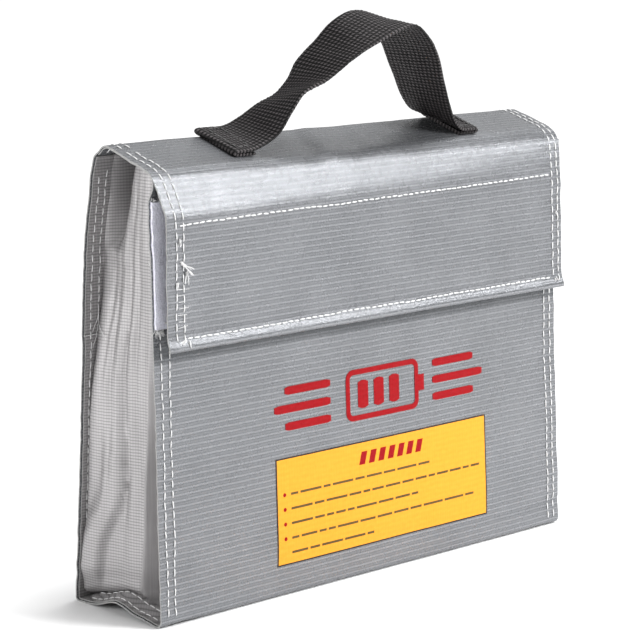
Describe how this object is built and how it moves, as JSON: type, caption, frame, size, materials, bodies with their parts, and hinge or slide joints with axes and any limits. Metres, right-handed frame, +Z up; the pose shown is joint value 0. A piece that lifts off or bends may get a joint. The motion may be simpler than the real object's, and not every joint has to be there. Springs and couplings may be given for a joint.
{
  "type": "fireproof battery safety bag",
  "caption": "Soft silver box bag with folded side gussets, hinged lid with a hook-and-loop flap, and a webbing carry handle.",
  "frame": {"origin": "middle of the base, on the surface the bag stands on", "axes": "+X along the bag's width, -Y towards the front and flap, +Z up"},
  "size_m": [0.24, 0.0616, 0.2414],
  "materials": {
    "silver_cloth": "aluminium-grey coated glass-fibre cloth with woven ribs, satin",
    "loop_tape": "pale fuzzy loop pile",
    "hook_tape": "pale nylon hooks",
    "white_thread": "white polyester sewing thread",
    "black_thread": "black sewing thread",
    "black_webbing": "black woven polypropylene webbing",
    "red_ink": "red screen print",
    "yellow_ink": "yellow screen print",
    "black_ink": "black screen print"
  },
  "bodies": {
    "bag_body": {"front_panel": "silver_cloth", "bottom_panel": "silver_cloth", "back_panel": "silver_cloth", "left_gusset": "silver_cloth", "right_gusset": "silver_cloth", "left_gusset_hem": "silver_cloth", "right_gusset_hem": "silver_cloth", "front_mouth_hem": "silver_cloth", "loop_tape": "loop_tape", "front_seam_stitches": "white_thread", "back_seam_stitches": "white_thread", "bottom_seam_stitches": "white_thread", "loop_tape_stitches": "white_thread", "mouth_stitches": "white_thread", "title_motif": "red_ink", "label_panel": "yellow_ink", "label_border": "black_ink", "label_heading": "red_ink", "label_text_bars": "black_ink", "label_bullets": "red_ink"},
    "lid": {"lid_panel": "silver_cloth", "lid_hem_left": "silver_cloth", "lid_hem_right": "silver_cloth", "lid_stitches": "white_thread", "handle_end_left": "black_webbing", "handle_end_right": "black_webbing", "handle_riser_left": "black_webbing", "handle_riser_right": "black_webbing", "handle_stitches": "black_thread"},
    "flap": {"flap_panel": "silver_cloth", "flap_hem_left": "silver_cloth", "flap_hem_right": "silver_cloth", "flap_turn_in": "silver_cloth", "hook_tape": "hook_tape", "flap_stitches": "white_thread"},
    "handle": {"handle_strap": "black_webbing"}
  },
  "joints": [
    {"name": "lid_hinge", "type": "hinge", "parent": "bag_body", "child": "lid", "pos_m": [0, 0.0144, 0.1862], "axis": [-1, 0, 0], "range_deg": [0, 135]},
    {"name": "flap_hinge", "type": "hinge", "parent": "lid", "child": "flap", "pos_m": [0, -0.0207, 0.1815], "axis": [-1, 0, 0], "range_deg": [0, 90]},
    {"name": "handle_fold", "type": "hinge", "parent": "lid", "child": "handle", "pos_m": [0, -0.00256, 0.1874], "axis": [1, 0, 0], "range_deg": [-45, 45], "deforming": ["handle_riser_left", "handle_riser_right"]}
  ]
}
